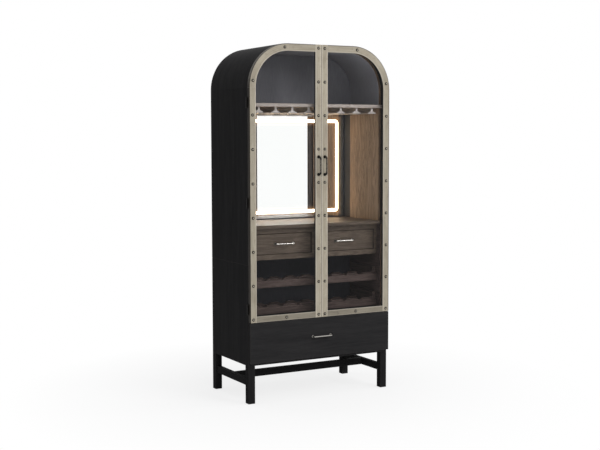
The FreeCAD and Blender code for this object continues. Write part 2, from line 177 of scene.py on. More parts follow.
def newFinish(name, **sockets):
    finish = bpy.data.materials.new(name)
    finish.use_nodes = True
    tree = finish.node_tree
    return finish, tree, fill(tree, tree.nodes["Principled BSDF"], sockets)


# camera and light

photoCamera = {
    "place": (-3.5159, -6.3550, 1.6501),
    "lens": 66.88,  # millimetres, as is the sensor
    "sensor": 36,
    "turn": 0.504,  # to the right of +Y, radians
    "dip": 0.0779,
    "roll": 0.002,
}


def addCamera(spec):
    data = bpy.data.cameras.new("photoCamera")
    data.lens = spec["lens"]
    data.sensor_width = spec["sensor"]
    camera = bpy.data.objects.new("photoCamera", data)
    turn = Matrix.Rotation(-spec["turn"], 4, "Z")
    dip = Matrix.Rotation(math.pi / 2 - spec["dip"], 4, "X")
    roll = Matrix.Rotation(-spec["roll"], 4, "Z")
    camera.matrix_world = Matrix.Translation(spec["place"]) @ turn @ dip @ roll
    scene.collection.objects.link(camera)
    scene.camera = camera


studio = {
    "ambient": 0.36,  # what the room gives to matt surfaces
    "ambientTint": (0.97, 0.985, 1.0),
    "floorSize": 16,
    "floorTiles": 4,
    "floorColour": (0.86, 0.86, 0.86),
    "floorRough": 0.9,
    "floorShine": 0.1,
    "shadowShare": 0.20,  # of the floor's own shading, under the object
    "shadowReach": (0.6, 1.9),  # metres from the middle, where it fades to white
    "lamps": {  # each aims at a height on the object's middle line
        "keyLamp": {"place": (2.6, -5.2, 4.6), "aim": 1.5, "size": 3.2, "watts": 230},
        "fillLamp": {"place": (-1.2, -6.5, 2.4), "aim": 1.2, "size": 3.0, "watts": 90},
        "topLamp": {"place": (-0.6, 0.2, 5.2), "aim": 2.0, "size": 2.4, "watts": 40},
        "glintLamp": {"place": (5.0, -1.8, 3.6), "aim": 1.3, "size": 1.7, "watts": 60},
    },
    "mirrored": ("glintLamp",),  # the only lamp that shines in metal
}


def backgroundRays(tree):
    # white for what the camera sees, straight, mirrored or through glass
    path = newNode(tree, "LightPath").outputs
    seen = sums(tree, "MAXIMUM", path["Is Camera Ray"], path["Is Glossy Ray"])
    return sums(tree, "MAXIMUM", seen, path["Is Transmission Ray"])


def addWorld(spec):
    world = bpy.data.worlds.new("studio")
    world.use_nodes = True
    scene.world = world
    tree = world.node_tree
    room = tree.nodes["Background"]
    fill(tree, room, {"Color": spec["ambientTint"], "Strength": spec["ambient"]})
    white = newNode(tree, "Background", Color=(1, 1, 1), Strength=1.0)
    mixed = mixShaders(tree, backgroundRays(tree), room.outputs[0], white.outputs[0])
    tree.links.new(mixed, tree.nodes["World Output"].inputs["Surface"])


def addFloor(spec):
    finish, tree, shader = newFinish(
        "paleFloor", Base_Color=spec["floorColour"], Roughness=spec["floorRough"],
        Specular_IOR_Level=spec["floorShine"],
    )
    white = newNode(tree, "Emission")
    away = newNode(tree, "VectorMath", Vector=objectCoords(tree))
    away.operation = "LENGTH"
    share = span(tree, away.outputs["Value"], 1 - spec["shadowShare"], 1.0, *spec["shadowReach"])
    factor = sums(tree, "MULTIPLY", backgroundRays(tree), share)
    mixed = mixShaders(tree, factor, shader.outputs[0], white.outputs[0])
    tree.links.new(mixed, tree.nodes["Material Output"].inputs["Surface"])
    bm = bmesh.new()
    tiles = spec["floorTiles"]
    bmesh.ops.create_grid(bm, x_segments=tiles, y_segments=tiles, size=spec["floorSize"])
    mesh = bpy.data.meshes.new("floor")
    bm.to_mesh(mesh)
    bm.free()
    mesh.materials.append(finish)
    floor = bpy.data.objects.new("floor", mesh)
    scene.collection.objects.link(floor)


def addLamps(spec):
    for name, lampSpec in spec["lamps"].items():
        data = bpy.data.lights.new(name, "AREA")
        data.shape = "SQUARE"
        data.size = lampSpec["size"]
        data.energy = lampSpec["watts"]
        lamp = bpy.data.objects.new(name, data)
        place = Vector(lampSpec["place"])
        aim = (place - Vector((0, 0, lampSpec["aim"]))).to_track_quat("Z", "Y")
        lamp.matrix_world = Matrix.Translation(place) @ aim.to_matrix().to_4x4()
        lamp.visible_glossy = name in spec["mirrored"]
        scene.collection.objects.link(lamp)


scene.view_settings.view_transform = "Standard"
addCamera(photoCamera)
addWorld(studio)
addFloor(studio)
addLamps(studio)
print("camera and studio ready")


# finishes: tones are places in the noise, rough a range, relief a strength and a height

def toned(colours, tone):
    return [tuple(c * tone for c in colour) for colour in colours]


# the lighter edge colour is a painted highlight on the rounded edges
blackLacquerSpec = {  # deep, light and edge colours
    "colours": ((0.0165, 0.0162, 0.0170), (0.0270, 0.0262, 0.0268), (0.040, 0.038, 0.037)),
    # the side panels darker than the front: painted shade
    "sideShadeTone": 0.86,
    # the stand darker than the case: painted shade under the cabinet
    "standShadeTone": 0.68,
    "shine": 0.004,
    "pores": {"scale": 420, "stretch": 0.035, "detail": 5, "rough": 0.6, "twist": 0.3},
    "figure": {"scale": 26, "stretch": 0.09, "rough": 0.5, "twist": 0.8},
    "figureShare": 0.45,
    "tones": (0.36, 0.64),
    "rough": (0.36, 0.54),
    "relief": (0.22, 0.0006),
}


def blackLacquer(name, axis, tone=1.0, spec=blackLacquerSpec):
    finish, tree, shader = newFinish(name + axis, Specular_IOR_Level=spec["shine"])
    deep, light, edge = toned(spec["colours"], tone)
    along = grainCoords(axis)
    pores = noise(tree, along, **spec["pores"])
    figure = noise(tree, along, **spec["figure"])
    colour = ramp(tree, blend(tree, spec["figureShare"], pores, figure), spec["tones"], deep, light)
    wearSheen = blend(tree, wearAndSheen(tree), colour, edge)
    drive(tree, shader, wearSheen, span(tree, pores, *spec["rough"]))
    relief(tree, shader, pores, *spec["relief"])
    return finish


pewterGrain = {
    "streak": {"scale": 340, "stretch": 0.02, "detail": 5, "rough": 0.6},
    "cloud": {"scale": 16, "stretch": 0.35, "detail": 7, "rough": 0.62, "twist": 0.6},
    "cloudShare": 0.5,
    "tones": (0.36, 0.60),
    "stain": {"scale": 75, "stretch": 0.5, "detail": 6, "rough": 0.65},
    "stainTones": (0.58, 0.72),
    "stainShare": 0.6,
    "wearSheenShare": 0.6,
    "rough": (0.34, 0.56),
    "relief": (0.28, 0.0005),
}
# the lighter edge colour on chamfers and rounded edges is rubbing and a painted highlight
pewterSpec = {  # light, dark, spot and edge colours, as in the two below
    "colours": ((0.405, 0.365, 0.290), (0.255, 0.222, 0.170), (0.148, 0.126, 0.097), (0.56, 0.51, 0.43)),
    "metal": 0.6,
    "meetingTone": 1.08,
    # the bottom rail darker: painted shade towards the floor
    "bottomShadeTone": 0.66,
}
railSteelSpec = {
    "colours": ((0.33, 0.300, 0.282), (0.235, 0.212, 0.199), (0.17, 0.153, 0.143), (0.40, 0.365, 0.343)),
    "metal": 0.2,
    "tone": 0.92,
}
shelfStripSpec = {
    "colours": ((0.262, 0.226, 0.205), (0.190, 0.163, 0.147), (0.140, 0.120, 0.108), (0.30, 0.262, 0.240)),
    "metal": 0.0,
}


def agedPewter(name, along, tone=1.0, spec=pewterSpec, grain=pewterGrain):
    finish, tree, shader = newFinish(name, Metallic=spec["metal"])
    light, dark, spot, edge = toned(spec["colours"], tone)
    streak = noise(tree, along, **grain["streak"])
    cloud = noise(tree, along, **grain["cloud"])
    mixed = blend(tree, grain["cloudShare"], streak, cloud)
    colour = ramp(tree, mixed, grain["tones"], dark, light)
    spots = noise(tree, along, **grain["stain"])
    stain = ramp(tree, spots, grain["stainTones"], 0.0, grain["stainShare"])
    stained = blend(tree, stain, colour, spot)
    wearSheenMix = sums(tree, "MULTIPLY", wearAndSheen(tree), grain["wearSheenShare"])
    drive(tree, shader, blend(tree, wearSheenMix, stained, edge), span(tree, mixed, *grain["rough"]))
    relief(tree, shader, mixed, *grain["relief"])
    return finish


castGrain = {
    "sockets": {"Metallic": 1.0},
    "cloud": {"scale": 120, "detail": 6, "rough": 0.6},
    "pits": {"scale": 900, "detail": 3, "rough": 0.5},
    "tones": (0.36, 0.62),
    "relief": (0.12, 0.0003),
}
patinaGrain = {
    "sockets": {"Metallic": 0.4, "Specular_IOR_Level": 0.1},
    "cloud": {"scale": 260},
    "pits": {"scale": 260},
    "tones": (0.3, 0.7),
    "relief": (0.15, 0.0003),
}
plasticGrain = {
    "sockets": {"Specular_IOR_Level": 0.2},
    "cloud": {"scale": 1400, "detail": 3},
    "pits": {"scale": 1400, "detail": 3},
    "tones": (0.3, 0.7),
    "relief": (0.15, 0.0003),
}
plasticSpec = ((0.014, 0.014, 0.015), (0.028, 0.028, 0.029), None, (0.45, 0.6))
# the third colour, where the face attribute is high, is rubbing and a painted highlight
metalSpecs = {  # dark, light and rubbed colours, then the range of roughness
    # rivet domes dark, with a bright painted highlight at the crown
    "rivetPewter": ((0.018, 0.015, 0.012), (0.042, 0.036, 0.029), (0.70, 0.65, 0.56), (0.18, 0.32)),
    "handlePewter": ((0.022, 0.019, 0.016), (0.044, 0.038, 0.032), (0.25, 0.23, 0.195), (0.2, 0.36)),
    "antiqueNickel": ((0.10, 0.095, 0.087), (0.17, 0.16, 0.148), (0.47, 0.45, 0.42), (0.14, 0.28)),
    "nickelFoot": ((0.13, 0.122, 0.112), (0.25, 0.237, 0.218), (0.46, 0.44, 0.41), (0.22, 0.36)),
    "blackIron": ((0.012, 0.012, 0.012), (0.030, 0.029, 0.028), (0.030, 0.029, 0.028), (0.42, 0.6)),
    "zincSteel": ((0.42, 0.42, 0.41), (0.58, 0.58, 0.57), (0.58, 0.58, 0.57), (0.25, 0.4)),
}
patinaShadeSpecs = {
    # the dark ring round each rivet: tarnish and a painted shadow
    "rivetPatinaShadow": ((0.014, 0.011, 0.009), (0.036, 0.030, 0.024), (0.036, 0.030, 0.024), (0.6, 0.75)),
    # the dark rim: tarnish and painted shade; its third colour, paler where the rim faces up, is painted
    # light from above
    "rimPatinaShade": ((0.016, 0.014, 0.012), (0.038, 0.033, 0.027), (0.118, 0.110, 0.098), (0.5, 0.65)),
}


def castFinish(name, grain, dark, light, rubbedSheen, rough):
    finish, tree, shader = newFinish(name, **grain["sockets"])
    cloud = noise(tree, even, **grain["cloud"])
    colour = ramp(tree, cloud, grain["tones"], dark, light)
    # painted highlight, with some rubbing, where the face attribute is high
    if rubbedSheen:
        colour = blend(tree, wearAndSheen(tree), colour, rubbedSheen)
    drive(tree, shader, colour, span(tree, cloud, *rough))
    relief(tree, shader, noise(tree, even, **grain["pits"]), *grain["relief"])
    return finish


oakGrain = {
    "figure": {"scale": 20, "stretch": 0.07, "detail": 5, "rough": 0.6, "twist": 1.4},
    "rings": 7.0,  # how often the figure is folded, and where
    "ringFold": 0.5,
    "ringTones": (0.1, 0.5),
    "pores": {"scale": 520, "stretch": 0.03, "rough": 0.6},
    "poreTones": (0.52, 0.68),
    "poreShare": 0.75,
    "rough": (0.42, 0.6),
    "relief": (0.2, 0.0005),
}
oakSpecs = {  # light, dark and pore colours, then the shine
    "brownOak": ((0.285, 0.200, 0.138), (0.170, 0.118, 0.080), (0.087, 0.060, 0.041), 0.03),
    # the lining walls, a lighter and warmer copy of the brown oak: painted warm light
    "litWallOak": ((0.362, 0.268, 0.192), (0.227, 0.164, 0.115), (0.119, 0.087, 0.060), 0.03),
    "drawerOak": ((0.095, 0.073, 0.056), (0.060, 0.045, 0.035), (0.031, 0.024, 0.018), 0.12),
    "rackOak": ((0.074, 0.054, 0.049), (0.046, 0.033, 0.030), (0.024, 0.017, 0.015), 0.06),
    "edgeOak": ((0.220, 0.148, 0.100), (0.138, 0.093, 0.062), (0.069, 0.046, 0.031), 0.05),
    # dark oak in the moulding's recesses: painted shade and glaze
    "grooveShadeOak": ((0.040, 0.030, 0.024), (0.024, 0.018, 0.014), (0.014, 0.011, 0.009), 0.03),
    "drawerBirch": ((0.52, 0.39, 0.255), (0.40, 0.285, 0.175), (0.30, 0.205, 0.12), 0.3),
}


def oak(name, axis, grain=oakGrain):
    light, dark, pore, shine = oakSpecs[name]
    finish, tree, shader = newFinish(name + axis, Specular_IOR_Level=shine)
    along = grainCoords(axis)
    figure = sums(tree, "MULTIPLY", noise(tree, along, **grain["figure"]), grain["rings"])
    rings = sums(tree, "PINGPONG", figure, grain["ringFold"])
    colour = ramp(tree, rings, grain["ringTones"], dark, light)
    pores = noise(tree, along, **grain["pores"])
    share = ramp(tree, pores, grain["poreTones"], 0.0, grain["poreShare"])
    drive(tree, shader, blend(tree, share, colour, pore), span(tree, pores, *grain["rough"]))
    relief(tree, shader, pores, *grain["relief"])
    return finish


boardGrain = {
    "shine": 0.05,
    "fibre": {"scale": 240, "stretch": 0.06, "rough": 0.6},
    "cloud": {"scale": 5, "detail": 3},
    "cloudShare": 0.4,
    "tones": (0.3, 0.7),
    "rough": (0.55, 0.7),
    "relief": (0.12, 0.0004),
}
boardSpecs = {  # dark and light colours
    "charcoalBoard": ((0.108, 0.108, 0.121), (0.154, 0.154, 0.170)),
    # the bent lining, a brighter copy of the charcoal board: painted light where it lies in shade
    "brightenedLining": ((0.218, 0.218, 0.241), (0.307, 0.307, 0.339)),
    "bayBoard": ((0.021, 0.021, 0.025), (0.035, 0.034, 0.041)),
    "nicheBoard": ((0.030, 0.032, 0.036), (0.044, 0.047, 0.052)),
    "doorBack": ((0.135, 0.140, 0.158), (0.185, 0.190, 0.212)),
}


def paintedBoard(name, dark, light, grain=boardGrain):
    finish, tree, shader = newFinish(name, Specular_IOR_Level=grain["shine"])
    fibre = noise(tree, grainCoords("Z"), **grain["fibre"])
    mixed = blend(tree, grain["cloudShare"], fibre, noise(tree, even, **grain["cloud"]))
    colour = ramp(tree, mixed, grain["tones"], dark, light)
    drive(tree, shader, colour, span(tree, fibre, *grain["rough"]))
    relief(tree, shader, fibre, *grain["relief"])
    return finish


bandWidth = 0.024
unlit = (0.0, 0.0, 0.0)


def bandDistance(tree):
    # how far a point lies from the middle line of the lit band
    low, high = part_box("light_band")
    middle = (low + high) / 2
    reach = (high - low) / 2 - Vector((bandWidth / 2,) * 3)
    x, y, z = splitCoords(tree)
    across = sums(tree, "SUBTRACT", sums(tree, "ABSOLUTE", x), reach.x)
    level = sums(tree, "ABSOLUTE", sums(tree, "SUBTRACT", z, middle.z))
    up = sums(tree, "SUBTRACT", level, reach.z)
    return sums(tree, "ABSOLUTE", sums(tree, "MAXIMUM", across, up))


mirrorSpec = {
    "haze": {"scale": 3, "detail": 3},
    "tones": (0.2, 0.8),
    "low": (0.955, 0.960, 0.955),
    "high": (0.970, 0.972, 0.970),
    "rough": (0.004, 0.012),
    "glow": (0.20, 0.105, 0.045),  # a painted glow, emitted by the glass beside the lit band
    "glowReach": 0.024,
}


def silverMirror(spec):
    finish, tree, shader = newFinish("silverMirror", Metallic=1.0, Emission_Strength=1.0)
    haze = noise(tree, even, **spec["haze"])
    colour = ramp(tree, haze, spec["tones"], spec["low"], spec["high"])
    drive(tree, shader, colour, span(tree, haze, *spec["rough"]))
    start = bandWidth / 2
    near = span(tree, bandDistance(tree), 1.0, 0.0, start, start + spec["glowReach"])
    tree.links.new(blend(tree, near, unlit, spec["glow"]), shader.inputs["Emission Color"])
    return finish


glassSpec = {
    "tint": (0.992, 0.998, 0.995),
    "bend": 1.0,  # none, as a thin pane shifts little, and so no mirrored room
    "paintedReflection": 0.0043,  # a painted reflection: emission for what each face mirrors of a white room, even and free of grain
}


def clearGlass(spec):
    finish, tree, shader = newFinish(
        "clearGlass", Base_Color=spec["tint"], Roughness=0.0, IOR=spec["bend"], Transmission_Weight=1.0,
        Emission_Color=(1, 1, 1), Emission_Strength=spec["paintedReflection"],
    )
    path = newNode(tree, "LightPath").outputs
    clear = newNode(tree, "BsdfTransparent").outputs[0]
    last = shader.outputs["BSDF"]
    for ray in ("Is Diffuse Ray", "Is Shadow Ray"):  # light goes straight in
        last = mixShaders(tree, path[ray], last, clear)
    tree.links.new(last, tree.nodes["Material Output"].inputs["Surface"])
    return finish


lightSpec = {
    "tint": (1.0, 0.72, 0.44),
    "strength": 13.0,
    "core": (0.0065, 0.0105),  # from the middle line, where the light fades into a frosted rim
    "frost": {"scale": 800, "detail": 2},
    "tones": (0.3, 0.7),
    "low": (0.86, 0.85, 0.82),
    "high": (0.93, 0.92, 0.90),
    "rough": 0.6,
}


def lightDiffuser(spec):
    finish, tree, shader = newFinish(
        "lightDiffuser", Roughness=spec["rough"], Emission_Strength=spec["strength"],
    )
    frost = noise(tree, even, **spec["frost"])
    colour = ramp(tree, frost, spec["tones"], spec["low"], spec["high"])
    tree.links.new(colour, shader.inputs["Base Color"])
    lit = span(tree, bandDistance(tree), 1.0, 0.0, *spec["core"])
    tree.links.new(blend(tree, lit, unlit, spec["tint"]), shader.inputs["Emission Color"])
    return finish


shoulderLow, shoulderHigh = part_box("shoulder_right")
shellRadius = shoulderHigh.z - shoulderLow.z
archCentre = (shoulderHigh.x - shellRadius, shoulderLow.z)

# the stand takes a darker copy of the lacquer, as painted shade
standShadeTone = blackLacquerSpec["standShadeTone"]
lacquer = {axis: blackLacquer("blackLacquer", axis) for axis in "XZ"}
# the sides take a darker copy of the lacquer, as painted shade
shadedSideLacquer = blackLacquer("shadedSideLacquer", "Z", blackLacquerSpec["sideShadeTone"])
shadedStandLacquer = {axis: blackLacquer("shadedStandLacquer", axis, standShadeTone) for axis in "XYZ"}
brownOak = {axis: oak("brownOak", axis) for axis in "XZ"}
litWallOak = oak("litWallOak", "Z")
drawerOak = oak("drawerOak", "X")
rackOak = {axis: oak("rackOak", axis) for axis in "XY"}
edgeOak = oak("edgeOak", "Z")
grooveShadeOak = oak("grooveShadeOak", "X")
birch = {axis: oak("drawerBirch", axis) for axis in "XY"}
board = {name: paintedBoard(name, *row) for name, row in boardSpecs.items()}
strapFinishes = [
    agedPewter("pewterStile", grainCoords("Z")),
    agedPewter("pewterArch", archCoords(archCentre, shellRadius)),
    agedPewter("pewterTopRail", grainCoords("X")),
    agedPewter("pewterMeeting", grainCoords("Z"), pewterSpec["meetingTone"]),
    # the bottom rail in a darker tone, as painted shade
    agedPewter("pewterBottomRail", grainCoords("X"), pewterSpec["bottomShadeTone"]),
]
railSteel = agedPewter("railSteel", grainCoords("Y"), railSteelSpec["tone"], railSteelSpec)
shelfStrip = agedPewter("shelfStrip", grainCoords("X"), spec=shelfStripSpec)
metal = {name: castFinish(name, castGrain, *row) for name, row in metalSpecs.items()}
patinaAndShade = {name: castFinish(name, patinaGrain, *row) for name, row in patinaShadeSpecs.items()}
blackPlastic = castFinish("blackPlastic", plasticGrain, *plasticSpec)
mirrorFinish = silverMirror(mirrorSpec)
glassFinish = clearGlass(glassSpec)
diffuserFinish = lightDiffuser(lightSpec)
print("finishes mixed")


# modelling helpers

nearly = 1e-4  # metres between places that should agree
merging = 1e-5  # metres between points that are one
edgeSegments = 3
fineSegments = 2  # where the rounding is slight
archSteps = 40
smoothAngle = 40  # degrees, up to which faces shade as one
leaning, squarely, flatOn = 0.5, 0.9, 0.99  # how far a normal has turned along Y


def pick(geom, kind):
    return [item for item in geom if isinstance(item, kind)]


def wearAndSheenLayer(bm):
    return bm.faces.layers.float.get("wearAndSheen") or bm.faces.layers.float.new("wearAndSheen")


def soften(bm, edges, rounding, segments=edgeSegments):
    wearSheen = wearAndSheenLayer(bm)
    made = bmesh.ops.bevel(
        bm, geom=edges, offset=rounding, offset_type="OFFSET", affect="EDGES",
        segments=segments, profile=0.5, material=-1, clamp_overlap=True,
    )
    # rounded edges marked for rubbing and a painted highlight
    for face in made["faces"]:
        face[wearSheen] = 1.0


def sharpEdges(bm, edges=None, joint=None):
    # corners over 30 degrees, apart from those that lie on a joint with a neighbour
    corner = math.radians(30)
    picked = []
    for edge in edges or bm.edges:
        if len(edge.link_faces) != 2 or edge.calc_face_angle(0) < corner:
            continue
        if joint and all(joint(v.co) for v in edge.verts):
            continue
        picked.append(edge)
    return picked


def roundNew(bm, before, rounding, joint=None, index=0, segments=edgeSegments):
    made = [face for face in bm.faces if face not in before]
    bmesh.ops.recalc_face_normals(bm, faces=made)
    for face in made:
        face.material_index = index
    edges = {edge for face in made for edge in face.edges}
    soften(bm, sharpEdges(bm, edges, joint), rounding, segments)


def addBoard(bm, low, high, rounding, joint=None, index=0):
    low, high = Vector(map(min, low, high)), Vector(map(max, low, high))
    place = Matrix.Translation((low + high) / 2) @ Matrix.Diagonal((*(high - low), 1))
    wearAndSheenLayer(bm)
    before = set(bm.faces)
    bmesh.ops.create_cube(bm, size=1, matrix=place)
    roundNew(bm, before, rounding, joint, index)


def addSection(bm, corners, sweep, rounding, joint=None, index=0):
    # an outline drawn out straight
    wearAndSheenLayer(bm)
    before = set(bm.faces)
    face = bm.faces.new([bm.verts.new(corner) for corner in corners])
    made = bmesh.ops.extrude_face_region(bm, geom=[face])
    bmesh.ops.translate(bm, verts=pick(made["geom"], BMVert), vec=sweep)
    roundNew(bm, before, rounding, joint, index)


def addTurned(bm, corners, centre, rounding, joint=None, index=0, steps=archSteps):
    # an outline on the springing line, swept up a quarter turn
    wearAndSheenLayer(bm)
    before = set(bm.faces)
    start = bm.faces.new([bm.verts.new(corner) for corner in corners])
    side = math.copysign(1, corners[0][0])
    bmesh.ops.spin(
        bm, geom=[start, *start.edges, *start.verts], cent=(side * centre[0], 0, centre[1]),
        axis=(0, -side, 0), angle=math.pi / 2, steps=steps,
    )
    roundNew(bm, before, rounding, joint, index)


def addArch(bm, side, centre, inner, outer, y, rounding, joint=None):
    corners = [(inner, y[0]), (outer, y[0]), (outer, y[1]), (inner, y[1])]
    places = [(side * (centre[0] + r), depth, centre[1]) for r, depth in corners]
    addTurned(bm, places, centre, rounding, joint)


def addArchedPlate(bm, half, low, high, radius, y, rounding):
    # half the outline with its bent corner, mirrored, filled and drawn out
    wearAndSheenLayer(bm)
    before = set(bm.faces)
    foot = bm.verts.new((half, y[0], low))
    spring = bm.verts.new((half, y[0], high - radius))
    middle = bm.verts.new((0, y[0], low))
    bm.edges.new((middle, foot))
    bm.edges.new((foot, spring))
    made = bmesh.ops.spin(
        bm, geom=[spring], cent=(half - radius, y[0], high - radius), axis=(0, -1, 0),
        angle=math.pi / 2, steps=archSteps,
    )
    crown = pick(made["geom_last"], BMVert)[0]
    bm.edges.new((crown, bm.verts.new((0, y[0], high))))
    loose = [edge for edge in bm.edges if not edge.link_faces]
    verts = {v for edge in loose for v in edge.verts}
    bmesh.ops.mirror(bm, geom=[*verts, *loose], axis="X", merge_dist=merging)
    outline = [edge for edge in bm.edges if not edge.link_faces]
    face = bmesh.ops.contextual_create(bm, geom=outline)["faces"][0]
    grown = bmesh.ops.extrude_face_region(bm, geom=[face])
    bmesh.ops.translate(bm, verts=pick(grown["geom"], BMVert), vec=(0, y[1] - y[0], 0))
    roundNew(bm, before, rounding, segments=fineSegments)


def solidCopy(node):
    flat = math.radians(0.4)
    bm = bmesh.new()
    bm.from_mesh(nodes[node].data)
    bmesh.ops.remove_doubles(bm, verts=bm.verts, dist=merging)
    bmesh.ops.dissolve_limit(bm, angle_limit=flat, verts=bm.verts, edges=bm.edges)
    return bm


def solidBoxes(node):
    # lowest and highest corner of each separate solid in a node
    bm = solidCopy(node)
    left = set(bm.verts)
    boxes = []
    while left:
        todo = [left.pop()]
        found = []
        while todo:
            vert = todo.pop()
            found.append(vert.co.copy())
            for edge in vert.link_edges:
                other = edge.other_vert(vert)
                if other in left:
                    left.remove(other)
                    todo.append(other)
        low, high = [Vector(map(end, zip(*found))) for end in (min, max)]
        boxes.append((low, high))
    bm.free()
    return sorted(boxes, key=lambda box: tuple(box[0]))


def addPiece(bm, name, finishes, body, smooth=smoothAngle):
    mesh = bpy.data.meshes.new(name)
    bm.to_mesh(mesh)
    bm.free()
    for finish in finishes:
        mesh.materials.append(finish)
    mesh.shade_smooth()
    mesh.set_sharp_from_angle(angle=math.radians(smooth))
    piece = bpy.data.objects.new(name, mesh)
    scene.collection.objects.link(piece)
    flat = piece.modifiers.new("flatFaces", "WEIGHTED_NORMAL")
    flat.keep_sharp = True
    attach(piece, body)
    return piece


def finishPiece(bm, node, finishes, smooth=smoothAngle, name=None):
    # a piece that stands for a CAD node
    piece = addPiece(bm, name or node + "_piece", finishes, bodyOf[node], smooth)
    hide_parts(node)


def markFront(bm, index):
    # another finish on what faces forwards
    for face in bm.faces:
        if face.normal.y < -squarely:
            face.material_index = index


def dressBoard(node, finish, rounding, segments=edgeSegments, edge=None):
    # the CAD shape with rounded edges
    bm = solidCopy(node)
    bm.normal_update()
    soften(bm, sharpEdges(bm), rounding, segments)
    if edge:
        markFront(bm, 1)
    finishPiece(bm, node, [finish, edge] if edge else [finish])


def plainBoard(node, finish, rounding, joint=None):
    bm = bmesh.new()
    addBoard(bm, *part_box(node), rounding, joint)
    finishPiece(bm, node, [finish])


def refinish(node, finish):
    # a CAD node that shows as it is
    materials = nodes[node].data.materials
    materials.clear()
    materials.append(finish)


screw = {  # shares of the radius, apart from the turns
    "turns": 16,
    "edge": 0.18,
    "crown": 0.07,
    "socket": 0.40,
    "taper": 0.02,
    "depth": 0.22,
}


def addScrew(bm, place, forward, radius, rise, spec=screw):
    # a low head with a sunk socket, facing the front or the back
    wearAndSheenLayer(bm)
    turn = math.pi / 2 if forward else -math.pi / 2
    made = bmesh.ops.create_circle(
        bm, cap_ends=True, segments=spec["turns"], radius=radius,
        matrix=Matrix.Translation(place) @ Matrix.Rotation(turn, 4, "X"),
    )
    seat = made["verts"][0].link_faces[0]
    grown = bmesh.ops.extrude_face_region(bm, geom=[seat])
    top = pick(grown["geom"], BMFace)[0]
    bmesh.ops.translate(bm, verts=top.verts[:], vec=(0, -rise if forward else rise, 0))
    steps = ((spec["edge"], -spec["crown"]), (spec["socket"], 0), (spec["taper"], -spec["depth"]))
    for width, depth in steps:
        bmesh.ops.inset_region(bm, faces=[top], thickness=width * radius, depth=depth * radius)
    bmesh.ops.reverse_faces(bm, faces=[seat])


# case shell

shell = {"rounding": 0.0016, "boardRounding": 0.0012, "thickness": 0.020}
backPanel = {
    "recess": 0.0006,
    "rounding": 0.0005,
    "screwRadius": 0.0042,
    "screwInset": 0.014,
    "screwGap": 0.27,
    "archScrews": 3,
    "rowShares": (0.2, 0.6),  # of the half width, for the screws in the two level rows
}


def atArch(co):
    return abs(co.z - archCentre[1]) < nearly or abs(abs(co.x) - archCentre[0]) < nearly


def buildShell(spec):
    rounding = spec["rounding"]
    inner = shellRadius - spec["thickness"]
    for word, side in sides.items():
        node = "shoulder_" + word
        low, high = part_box(node)
        bm = bmesh.new()
        addArch(bm, side, archCentre, inner, shellRadius, (low.y, high.y), rounding, atArch)
        finishPiece(bm, node, [lacquer["Z"]])
        for level in ("upper", "lower"):
            plainBoard("side_%s_%s" % (level, word), shadedSideLacquer, rounding, atArch)
    plainBoard("top_panel", lacquer["X"], rounding, atArch)
    for node in ("bottom_board", "deck"):
        dressBoard(node, lacquer["X"], spec["boardRounding"])


def buildBackPanel(spec):
    low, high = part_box("back_panel")
    bm = solidCopy("back_panel")
    for vert in bm.verts:
        if vert.co.y > high.y - nearly:
            vert.co.y -= spec["recess"]
    soften(bm, sharpEdges(bm), spec["rounding"], fineSegments)
    finishPiece(bm, "back_panel", [lacquer["Z"]])

    foot = low.z + spec["screwInset"]
    edge = high.x - spec["screwInset"]
    count = round((archCentre[1] - foot) / spec["screwGap"])
    rise = (archCentre[1] - foot) / count
    spots = [(edge, foot + rise * number) for number in range(count + 1)]
    radius = edge - archCentre[0]
    for number in range(1, spec["archScrews"] + 1):
        turn = math.pi / 2 * number / spec["archScrews"]
        across, up = radius * math.cos(turn), radius * math.sin(turn)
        spots.append((archCentre[0] + across, archCentre[1] + up))
    deckLow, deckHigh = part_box("deck")
    for level in ((deckLow.z + deckHigh.z) / 2, foot):
        spots += [(share * edge, level) for share in spec["rowShares"]]
    bm = bmesh.new()
    for x, z in spots:
        for side in sides.values():
            place = (side * x, high.y - spec["recess"] - nearly, z)
            addScrew(bm, place, False, spec["screwRadius"], spec["recess"])
    addPiece(bm, "back_panel_screws", [metal["blackIron"]], "case")


buildShell(shell)
buildBackPanel(backPanel)
print("case shell built")


# stand

stand = {"legRounding": 0.0010, "railRounding": 0.0016, "glideRounding": 0.0005}


def buildStand(spec):
    for node in ("front_legs", "back_legs"):
        dressBoard(node, shadedStandLacquer["Z"], spec["legRounding"])
    for word, axis in (("left", "Y"), ("right", "Y"), ("middle", "X")):
        dressBoard("stretcher_" + word, shadedStandLacquer[axis], spec["railRounding"])
    dressBoard("glides", blackPlastic, spec["glideRounding"])


buildStand(stand)
print("stand built")


# fitted interior

interior = {
    "boardRounding": 0.0015,
    "rackRounding": 0.0018,
    "cradleRounding": 0.001,
    "backRounding": 0.0006,
    "mirrorRounding": 0.002,
    "smallRounding": 0.001,  # runners, driver, grommet and catches
}


